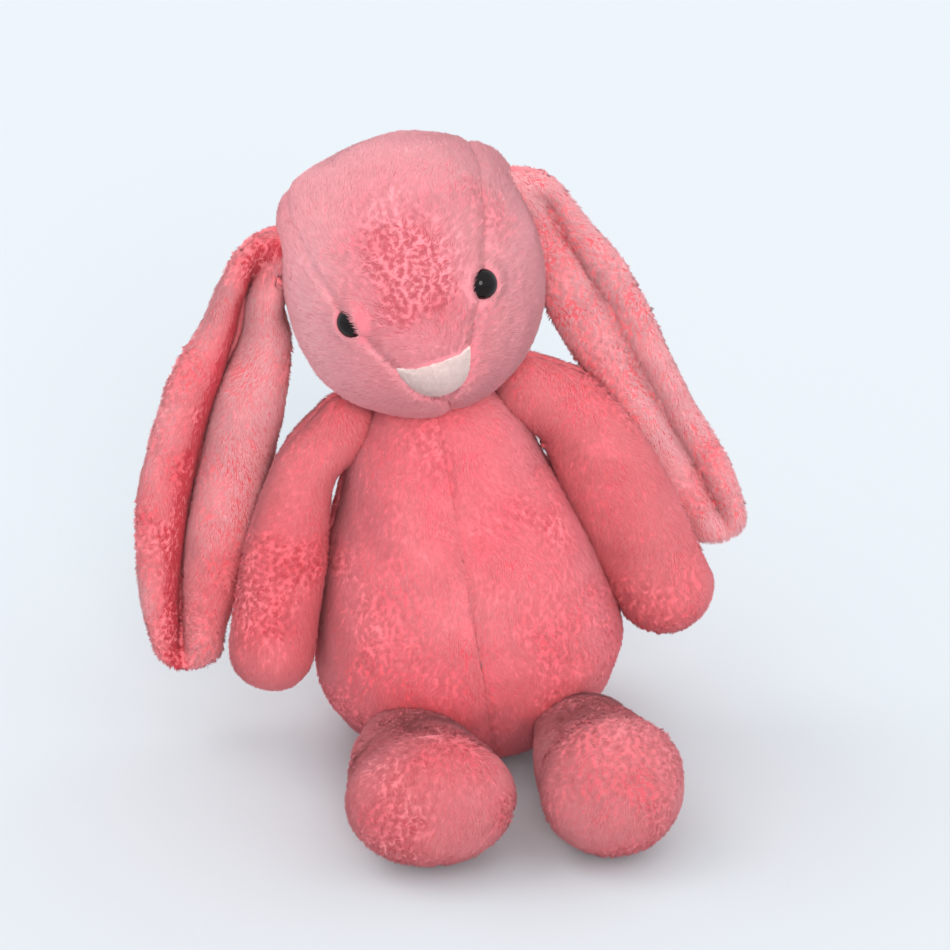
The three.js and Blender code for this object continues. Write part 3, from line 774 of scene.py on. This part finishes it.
def stuffing_material():
    """White fibre filling: soft clumps with fine crimped fibres over them."""
    material = principled("stuffing", {"Roughness": 1, "Sheen Weight": 0.3})
    clumps = texture(material, "ShaderNodeTexNoise", {"Scale": 90, "Detail": 8, "Distortion": 1.5})
    # painted shade: the filling is darker where the clumps sink, as the same pattern lowers the surface
    # there
    colour_by(material, clumps, (226, 226, 222), (250, 250, 247))
    raise_by(material, clumps, strength=0.8, height=2)
    return material


def pouch_material():
    """Undyed woven cloth: fine threads that cross at right angles."""
    material = principled("pellet_pouch", {"Roughness": 0.9})
    weave = material.node_tree.nodes.new("ShaderNodeMath")
    weave.operation = "MAXIMUM"
    for socket, direction in zip(weave.inputs, "XY"):
        threads = texture(material, "ShaderNodeTexWave", {"Scale": 500, "Distortion": 0.6})
        threads.bands_direction = direction
        material.node_tree.links.new(threads.outputs["Fac"], socket)
    # painted shade: the cloth is darker where the weave is low, between the threads
    colour_by(material, weave, (190, 180, 164), (226, 218, 204))
    raise_by(material, weave, strength=0.6, height=0.3)
    return material


def washer_material():
    """White moulded plastic with a faint satin grain."""
    material = principled("eye_washer", {"Base Color": colour((236, 236, 232)), "Roughness": 0.35})
    grain = texture(material, "ShaderNodeTexNoise", {"Scale": 1200})
    raise_by(material, grain, strength=0.15, height=0.1)
    return material


def eye_material():
    """Polished dark plastic."""
    gloss = {"Roughness": 0.06, "Specular IOR Level": 0.22}
    return principled("eye_gloss", {"Base Color": colour((16, 7, 8)), **gloss})


def dress_inner_pieces(nodes):
    """The CAD's own fillings, pouches and washers stay, each in the material of its kind."""
    kinds = {"stuffing": stuffing_material(), "pouch": pouch_material(), "washer": washer_material()}
    for name, node in nodes.items():
        kind = name.split("_")[-1]
        if kind in kinds:
            node.data.materials.clear()
            node.data.materials.append(kinds[kind])


# ---- The rabbit ----
def lean_axis(points):
    """The nearest points on the leaning body's middle line."""
    up = LEAN_MATRIX @ UP
    return (points @ up)[:, None] * up


def towards(direction):
    """A nap that lies the same way everywhere."""
    return lambda points: np.broadcast_to(np.asarray(direction, float), points.shape)


def counts_for(width, height):
    """How many steps a panel of this size takes each way."""
    step = SKIN_STEP * 1
    return (max(int(width / step), 4), max(int(height / step), 4))


def plump(sheet, seam_depth, relief):
    """Pulls the seams in, so that the panel stands full between them, and adds soft lumps and the curls."""
    puff = PUFF * seam_depth * np.exp(-sheet.edge / PUFF_REACH)
    seam = -seam_depth * np.exp(-((sheet.edge / SEAM_REACH) ** 2)) - puff
    lumps = sum(height * noise(sheet.points, size, LUMP_SEED + step) for height, size, step in LUMPS)
    centre, _ = tufts(sheet.points, TUFT_SIZE, TUFT_SEED)
    bunch = 1 - np.linalg.norm(sheet.points - centre, axis=1) / (0.6 * TUFT_SIZE)
    curls = CURL_RELIEF * curliness(sheet.points) * bunch
    extra = 0 if relief is None else relief(sheet.points)
    sheet.push(seam + lumps + curls + extra + FULLNESS - SKIN_SINK)


class Rabbit:
    def __init__(self):
        self.rng = np.random.default_rng(7)
        self.pile = {}
        self.skin = {}
        for look, shades in SRGB.items():
            self.pile[look] = [pile_material(f"{look}_pile_{k}", rgb) for k, rgb in enumerate(shades)]
            self.skin[look] = skin_material(f"{look}_skin", shades)

    def fur(self, sheet, name, body, slot, look, seam_depth=SEAM_DEPTH, relief=None, filling=None,
            **options):
        """One fur panel: its skin and its pile, which ride on a body and take their finish from the look;
        the slot is not used.
        """
        if filling is not None:
            sheet.points = sheet.points + filling.swell(sheet)
            sheet.update_normals()
        plump(sheet, seam_depth, relief)
        base = skin(sheet, name + "_fur", SKIN_THICKNESS, [self.skin[look]])
        hair = pile(sheet, name + "_pile", self.pile[look], self.rng, **options)
        for piece in (base, hair):
            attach(piece, body)
        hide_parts(name)

    def body(self):
        quarters = ["back_left", "back_right", "front_right", "front_left"]
        filling = Filling(body_surface, [k * math.pi / 2 for k in range(4)])
        for k, name in enumerate(quarters):
            around = (k * math.pi / 2 + BODY_GAP, (k + 1) * math.pi / 2 - BODY_GAP)
            sheet = Sheet(body_surface, around, (0, 1), counts_for(90, 145), lean_axis,
                          towards(-LEAN_MATRIX @ UP))
            self.fur(sheet, f"body_{name}", "torso", "fur_body", "body", seam_depth=BODY_SEAM,
                     filling=filling, flat_on_floor=True)

    def seat(self):
        def bottom(angle, share):
            x = SEAT_RADII[0] * share * np.cos(angle)
            y = SEAT_RADII[1] * share * np.sin(angle)
            return SEAT_MIDDLE + np.stack([x, y, np.zeros_like(x)], -1)

        sheet = Sheet(bottom, FULL_TURN, (0, 1), counts_for(200, 34), lambda p: p + UP, towards((0, 1, 0)))
        self.fur(sheet, "seat_panel", "torso", "fur_body", "body", flat_on_floor=True, lean=SEAT_LEAN)

    def limb_halves(self, surface, names, vs, size, body, slot, look, middle, nap, stuffed=True, **options):
        """A limb's two panels, one for each half turn about its middle line."""
        filling = Filling(surface, [0, math.pi]) if stuffed else None
        for k, name in enumerate(names):
            around = (k * math.pi + LIMB_GAP, (k + 1) * math.pi - LIMB_GAP)
            sheet = Sheet(surface, around, vs, counts_for(*size), middle, nap)
            self.fur(sheet, name, body, slot, look, filling=filling, **options)

    def arms(self):
        for side, spec in ARMS.items():
            surface = limb(spec, from_lean)
            spine = from_lean(catmull(spec["spine"], np.linspace(0, 1, 60)))
            names = [f"{side}_arm_front", f"{side}_arm_back"]
            self.limb_halves(surface, names, (0, 1), (55, 150), f"{side}_arm", "fur_body", "arm",
                             nearest(spine), towards((0, 0, -1)))

    def legs(self):
        for side, spec in LEGS.items():
            surface = limb(spec)
            spine = catmull(spec["spine"], np.linspace(0, 1, 60))
            names = [f"{side}_leg_top", f"{side}_leg_underside"]
            body = f"{side}_leg"
            self.limb_halves(surface, names, (0, SOLE_START - SOLE_GAP), (70, 60), body, "fur_body", "leg",
                             nearest(spine), towards((0, -1, -0.3)), seam_depth=LEG_SEAM,
                             flat_on_floor=True)
            sole = Sheet(surface, FULL_TURN, (SOLE_START + SOLE_GAP, 1), counts_for(170, 45),
                         nearest(spine), towards((0, 0, -1)))
            self.fur(sole, f"{side}_sole", body, "fur_body", "leg", seam_depth=LEG_SEAM, flat_on_floor=True)

    def ears(self):
        for side, spec in EARS.items():
            surface = limb(spec, from_lean)
            spine = from_lean(catmull(spec["spine"], np.linspace(0, 1, 60)))
            names = [f"{side}_ear_front", f"{side}_ear_back"]
            self.limb_halves(surface, names, (0.0, 1), (55, 190), f"{side}_ear", "fur_ear", "ear",
                             nearest(spine), towards((0, 0, -1)), stuffed=False, tint=spec["tint"])

    def head(self):
        start, end = GUSSET_RISE[0] + 0.01, GUSSET_RISE[-1] - 0.01
        centre = from_head(np.zeros((1, 3)))
        nap = lambda p: p - from_head(np.array([[0, -56, -20.0]]))
        eyes = {sign: eye_place(sign)[0] for sign in EYE_FOLDS}
        brow = from_head(np.array([0, -50, 10.0]))

        def bare(p):
            """Where no pile grows: under the eyes and under the nose."""
            under_eye = np.zeros(len(p), bool)
            for eye in eyes.values():
                under_eye |= np.linalg.norm(p - eye, axis=1) < EYE_RADIUS - EYE_BARE
            return under_eye | self.nose_covers(p)

        def curly(p):
            """The head's pile is calm but for the forehead's middle and a patch over the left eye."""
            patch = 0
            for spot, spread in CURLY_SPOTS:
                off = np.linalg.norm(p - from_head(np.array(spot, float)), axis=1)
                patch = patch + np.exp(-((off / spread) ** 2))
            strength, chance, least = HEAD_CURLS
            return np.clip(patch * strength + chance * noise(p, 9, 33), least, 1)

        def relief(p):
            """The fabric rises round each eye, so that the eye sits in the pile."""
            rise = 0
            for sign, eye in eyes.items():
                off = np.linalg.norm(p - eye, axis=1)
                fold = EYE_FOLDS[sign] * np.clip(unit(p - eye) @ unit(brow - eye), 0, 1)
                ring = off - EYE_RADIUS - EYE_RIM_OFF + 0.6 * fold
                rise = rise + (EYE_RIM + fold) * np.exp(-((ring / EYE_RIM_WIDTH) ** 2))
            return rise

        def strip(rise, v):
            return head_surface(rise, v * (gusset_half(rise) - HEAD_GAP))

        gusset = Sheet(strip, (start, end), (-1, 1), counts_for(215, 70), lambda p: centre, nap)
        self.fur(gusset, "head_gusset", "head", "fur_head", "head", seam_depth=HEAD_SEAM,
                 relief=relief, bare=bare, curly=curly, deepen=HEAD_PAINTED_CURL_SHADE)
        for name, sign in (("left", 1), ("right", -1)):
            def outward(rise, v, sign=sign):
                edge = np.where((rise > start) & (rise < end), gusset_half(rise), 0) + HEAD_GAP
                return head_surface(rise, sign * (edge + (math.pi / 2 - edge) * v))

            cheek = Sheet(outward, (start, start + 2 * math.pi), (0, 1), counts_for(280, 55),
                          lambda p: centre, nap)
            self.fur(cheek, f"head_{name}_cheek", "head", "fur_head", "head", seam_depth=HEAD_SEAM,
                     relief=relief, bare=bare, curly=curly, deepen=HEAD_PAINTED_CURL_SHADE)

    def nose_covers(self, p):
        """Whether each point of the head lies under the nose patch."""
        local = (p @ LEAN_MATRIX - HEAD) @ HEAD_MATRIX
        direction = unit(local)
        rise = np.arctan2(direction[:, 2], -direction[:, 1])
        side = np.arcsin(np.clip(direction[:, 0], -1, 1))
        share = (rise - NOSE_BOTTOM) / (NOSE_TOP - NOSE_BOTTOM)
        return (share > 0) & (share < 1) & (np.abs(side) < nose_half(share) * 0.95)

    def nose(self):
        def patch(side, share):
            rise = NOSE_BOTTOM + (NOSE_TOP - NOSE_BOTTOM) * share
            swell = (1 - side**2) * np.clip(4 * share * (1 - share), 0, 1) ** 0.5
            p = head_point(rise, side * nose_half(share))
            return from_head(p + unit(p) * (NOSE_EDGE + NOSE_CROWN * swell)[..., None])

        centre = from_head(np.zeros((1, 3)))
        sheet = Sheet(patch, (-1, 1), (0, 1), counts_for(40, 30), lambda p: centre, towards((0, 0, -1)))
        base = skin(sheet, "nose_velour", SKIN_THICKNESS, [self.skin["nose"]])
        hair = pile(sheet, "nose_velour_pile", self.pile["nose"], self.rng,
                    curly=lambda p: np.full(len(p), 0.1), **NOSE_PILE)
        for piece in (base, hair):
            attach(piece, "head")
        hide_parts("nose_patch")

    def eyes(self):
        gloss = eye_material()
        steps, rounds = 24, 64
        for name, sign in (("left", 1), ("right", -1)):
            place, outward = eye_place(sign)
            side = unit(np.cross(outward, UP))
            top = np.cross(side, outward)
            fall = np.linspace(math.pi / 2, 0, steps)
            profile = [(0.0, 0.0)]
            profile += [(EYE_RADIUS * math.sin(f), EYE_DOME * math.cos(f) ** EYE_FULLNESS) for f in fall]
            rings = []
            angle = np.arange(rounds) * 2 * math.pi / rounds
            for radius, height in profile:
                rim = side * (radius * np.cos(angle))[:, None] + top * (radius * np.sin(angle))[:, None]
                rings.append(place + rim + outward * (height - EYE_SINK))
            points = np.concatenate(rings)
            quads = []
            for k in range(len(profile) - 1):
                here = k * rounds + np.arange(rounds)
                along = k * rounds + (np.arange(rounds) + 1) % rounds
                quads.append(np.stack([here, along, along + rounds, here + rounds], 1))
            eye = make_object(f"{name}_eye_dome", points, np.concatenate(quads)[:, ::-1], [gloss])
            tidy(eye)
            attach(eye, "head")
            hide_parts(f"{name}_eye")

    def balls(self):
        neck = Sheet(ball_surface(NECK, NECK_RADIUS, np.eye(3)), FULL_TURN, NECK_BAND, counts_for(100, 34),
                     lambda p: from_lean(NECK[None]), towards((0, 0, -1)))
        self.fur(neck, "neck_cover", "neck", "fur_body", "body")
        outwards = turn(0, -math.pi / 2)
        tail = Sheet(ball_surface(TAIL, TAIL_RADII, outwards), FULL_TURN, TAIL_BAND, counts_for(100, 46),
                     lambda p: from_lean(TAIL[None]), towards((0, 1, -1)))
        self.fur(tail, "tail_cover", "tail", "fur_body", "body", length=TAIL_PILE)


def nose_half(share):
    """Half the nose's width as a side angle: straight across its top and rounded below."""
    return NOSE_HALF * np.clip(share, 0, 1) ** NOSE_ROUNDING


def eye_place(sign):
    """The middle of an eye's seat on the head's surface, and the direction it faces."""
    local = head_point(np.array(EYE_RISE), np.array(sign * EYE_SIDE))
    facing = unit(local / HEAD_RADII**2)
    return from_head(local), LEAN_MATRIX @ HEAD_MATRIX @ facing


def tidy(piece):
    """Merges the piece's doubled points and turns its faces outwards."""
    work = bmesh.new()
    work.from_mesh(piece.data)
    bmesh.ops.remove_doubles(work, verts=work.verts, dist=1e-6)
    bmesh.ops.recalc_face_normals(work, faces=work.faces)
    work.to_mesh(piece.data)
    work.free()


def nearest(line):
    """A function that gives, for each point, the nearest point of a line of points."""
    def find(points):
        return line[((points[:, None] - line[None]) ** 2).sum(2).argmin(1)]

    return find


def stage():
    """A plain pale floor under an even sky, with two soft suns."""
    finish = principled("floor", {"Base Color": colour(FLOOR_RGB), "Roughness": 1, "Specular IOR Level": 0})
    corners = np.array([(-1, -1, 0), (1, -1, 0), (1, 1, 0), (-1, 1, 0)]) * FLOOR_HALF / MM
    floor = make_object("floor", corners, np.array([[0, 1, 2, 3]]), [finish])
    world = bpy.data.worlds.new("studio")
    world.use_nodes = True
    sky = world.node_tree.nodes["Background"]
    sky.inputs["Color"].default_value = colour(SKY_RGB)
    sky.inputs["Strength"].default_value = SKY_STRENGTH
    bpy.context.scene.world = world
    for name, place, softness, strength in SUNS:
        light = bpy.data.lights.new(name, "SUN")
        light.angle = softness
        light.energy = strength
        lamp = bpy.data.objects.new(name, light)
        lamp.rotation_euler = (-Vector(place)).to_track_quat("-Z", "Y").to_euler()
        bpy.context.scene.collection.objects.link(lamp)
    bpy.context.scene.view_settings.view_transform = "Standard"


def camera():
    data = bpy.data.cameras.new("camera")
    data.sensor_width = CAMERA_SENSOR
    data.lens = CAMERA_LENS
    view = bpy.data.objects.new("camera", data)
    level = math.cos(CAMERA_RISE)
    away = Vector((math.sin(CAMERA_SIDE) * level, -math.cos(CAMERA_SIDE) * level, math.sin(CAMERA_RISE)))
    view.location = Vector(CAMERA_AIM) + away * CAMERA_DISTANCE
    view.rotation_euler = (-away).to_track_quat("-Z", "Y").to_euler()
    bpy.context.scene.collection.objects.link(view)
    bpy.context.scene.camera = view


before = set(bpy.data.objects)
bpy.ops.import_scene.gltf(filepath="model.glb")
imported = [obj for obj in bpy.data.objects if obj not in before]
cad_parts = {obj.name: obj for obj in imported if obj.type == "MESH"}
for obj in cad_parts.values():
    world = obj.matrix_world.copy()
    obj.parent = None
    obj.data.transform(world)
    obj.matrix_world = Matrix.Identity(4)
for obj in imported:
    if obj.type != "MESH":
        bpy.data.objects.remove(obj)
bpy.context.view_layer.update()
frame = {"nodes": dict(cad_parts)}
camera()
stage()
dress_inner_pieces(frame["nodes"])
rabbit = Rabbit()
rabbit.body()
rabbit.arms()
rabbit.legs()
rabbit.ears()
rabbit.head()
rabbit.balls()
rabbit.seat()
rabbit.nose()
rabbit.eyes()
